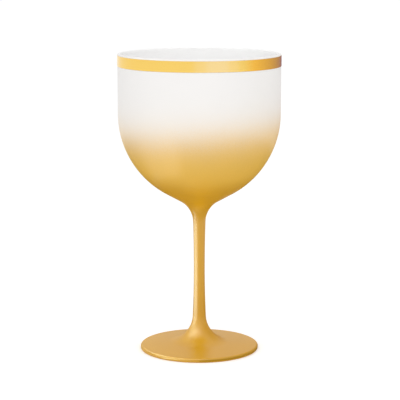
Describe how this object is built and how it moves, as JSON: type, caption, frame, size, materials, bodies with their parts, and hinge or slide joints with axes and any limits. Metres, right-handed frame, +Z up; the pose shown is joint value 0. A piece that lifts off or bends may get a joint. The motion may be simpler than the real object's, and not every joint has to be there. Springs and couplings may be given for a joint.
{
  "type": "gin glass",
  "caption": "Stemmed gin goblet: wide straight-walled bowl with a rounded belly, slim waisted stem, round trumpet foot and a shiny foil band under the lip.",
  "frame": {"origin": "centre of the foot, on the plane that the goblet stands on", "axes": "+Z up along the stem's axis; X and Y are level and alike, because every piece is a turned form"},
  "size_m": [0.1057, 0.1056, 0.1948],
  "materials": {
    "white_fading_to_gold": "white moulded plastic, its lower half sprayed with satin metallic gold lacquer that fades out up the wall",
    "gold_lacquer": "satin metallic gold lacquer over moulded plastic",
    "gold_foil": "bright mirror foil"
  },
  "bodies": {
    "root": {"bowl": "white_fading_to_gold", "stem": "gold_lacquer", "foot": "gold_lacquer", "rim_band": "gold_foil"}
  },
  "joints": []
}
